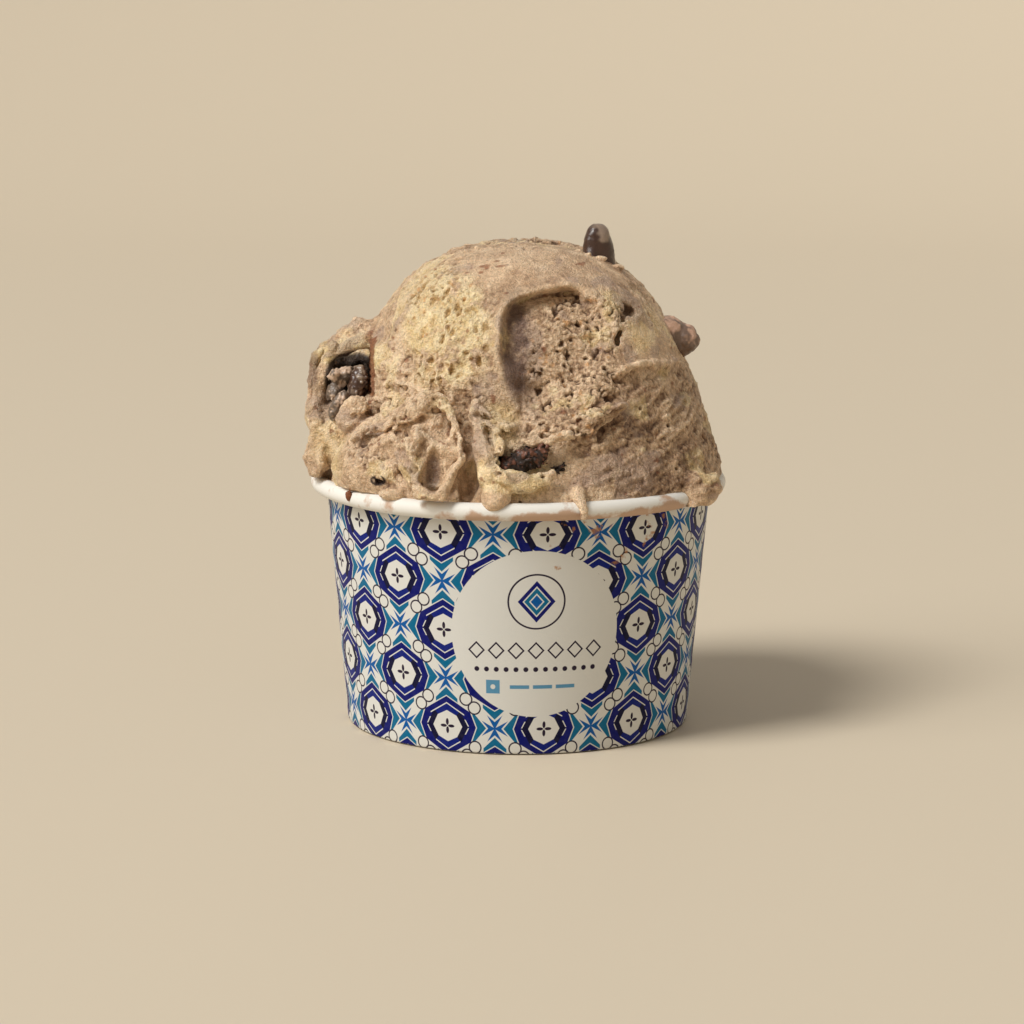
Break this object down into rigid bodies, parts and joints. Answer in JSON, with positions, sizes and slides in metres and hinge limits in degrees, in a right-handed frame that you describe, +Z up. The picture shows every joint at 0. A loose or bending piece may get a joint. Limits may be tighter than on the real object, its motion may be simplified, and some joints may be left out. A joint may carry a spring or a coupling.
{
  "type": "gelato cup",
  "caption": "Round paper cup with a rolled rim, filled with marbled gelato heaped in a torn scoop and studded with chocolate.",
  "frame": {"origin": "centre of the foot on the surface that the cup stands on, on the cup's axis", "axes": "+Z up along the cup's axis; the shown side of the heap, with the print's round label, faces -Y; +X is to the right of that side"},
  "size_m": [0.095, 0.0962, 0.1144],
  "materials": {
    "printed_paper": "smooth off-white paper board with a blue, navy and teal lattice print, satin",
    "white_paper": "plain off-white paper board, matt",
    "gelato": "soft porous gelato, cream marbled with milk-chocolate brown, moist",
    "chocolate": "dark chocolate, moist and glossy",
    "coated_chocolate": "chocolate smeared with gelato, moist",
    "brownie": "crumbly dark brownie, rough"
  },
  "bodies": {
    "root": {"cup_wall": "printed_paper", "cup_base": "white_paper", "gelato": "gelato", "chocolate_top": "chocolate", "chocolate_right": "coated_chocolate", "brownie_front": "brownie", "chocolate_left_high": "chocolate", "chocolate_left_low": "coated_chocolate"}
  },
  "joints": []
}
